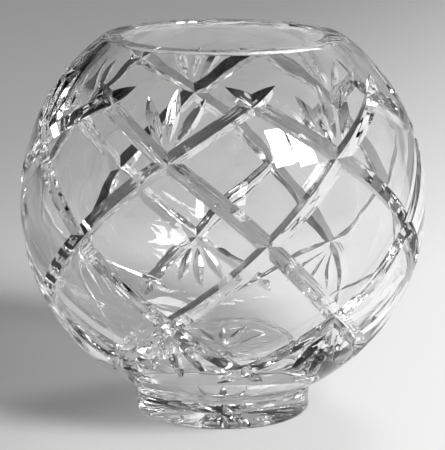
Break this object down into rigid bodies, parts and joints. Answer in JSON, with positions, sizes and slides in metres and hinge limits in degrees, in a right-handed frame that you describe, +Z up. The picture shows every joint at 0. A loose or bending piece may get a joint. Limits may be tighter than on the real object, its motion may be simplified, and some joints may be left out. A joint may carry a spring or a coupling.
{
  "type": "rose bowl vase",
  "caption": "Round cut-glass rose bowl with a diamond lattice of mitre cuts, leaf fans, a flat ground rim and a low disc foot, for short-stemmed flowers.",
  "frame": {"origin": "centre of the base, on the surface that the vase stands on", "axes": "+Z up along the bowl's axis, with the mouth on top; -Y faces the camera of the picture, about 10 degrees from a crossing of the pattern's first row"},
  "size_m": [0.16, 0.16, 0.1506],
  "materials": {
    "crystal": "clear colourless lead glass, blown and cut, with every cut facet, the rim and the base polished bright"
  },
  "bodies": {
    "root": {"bowl": "crystal", "foot": "crystal"}
  },
  "joints": []
}
